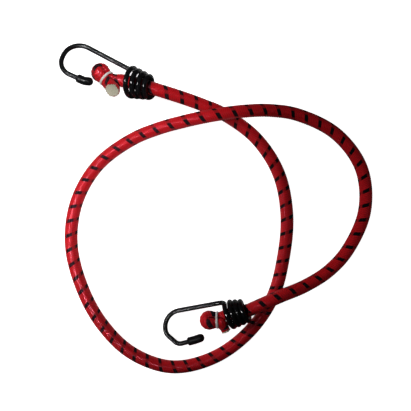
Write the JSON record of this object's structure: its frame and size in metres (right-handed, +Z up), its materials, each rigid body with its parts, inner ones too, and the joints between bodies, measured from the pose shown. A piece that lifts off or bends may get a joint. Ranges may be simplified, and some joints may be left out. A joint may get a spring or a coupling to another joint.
{
  "type": "bungee cord",
  "caption": "Elastic tie-down cord in a red braided sleeve with a black tracer yarn, folded and ring-crimped at its ends, each end held in the wound coil of an open wire hook.",
  "frame": {"origin": "on the surface that the cord lies on, under the middle of the whole", "axes": "+Z up from that surface, +Y along the longest extent, towards hook a, +X to the right seen from above"},
  "size_m": [0.1935, 0.2045, 0.0201],
  "materials": {
    "braid": "woven polyester sleeve, red with a black tracer yarn",
    "core_rubber": "natural latex strands, cut square",
    "ring_steel": "bright zinc-plated wire",
    "hook_coating": "glossy black coating on steel wire",
    "cap_vinyl": "satin black vinyl"
  },
  "bodies": {
    "cord": {"cord_cover": "braid", "rubber_core": "core_rubber", "crimp_ring_a": "ring_steel", "crimp_ring_b": "ring_steel"},
    "hook_a": {"hook_wire_a": "hook_coating", "tip_cap_a": "cap_vinyl"},
    "hook_b": {"hook_wire_b": "hook_coating", "tip_cap_b": "cap_vinyl"}
  },
  "joints": [
    {"name": "hook_a_swivel", "type": "hinge", "parent": "cord", "child": "hook_a", "pos_m": [-0.0524, 0.0775, 0.01017], "axis": [-0.9544, 0.2881, -0.0785], "range_deg": [-120, 150]},
    {"name": "hook_b_swivel", "type": "hinge", "parent": "cord", "child": "hook_b", "pos_m": [0.0069, -0.0652, 0.00944], "axis": [-0.9519, -0.2462, -0.1822], "range_deg": [-120, 120]}
  ]
}
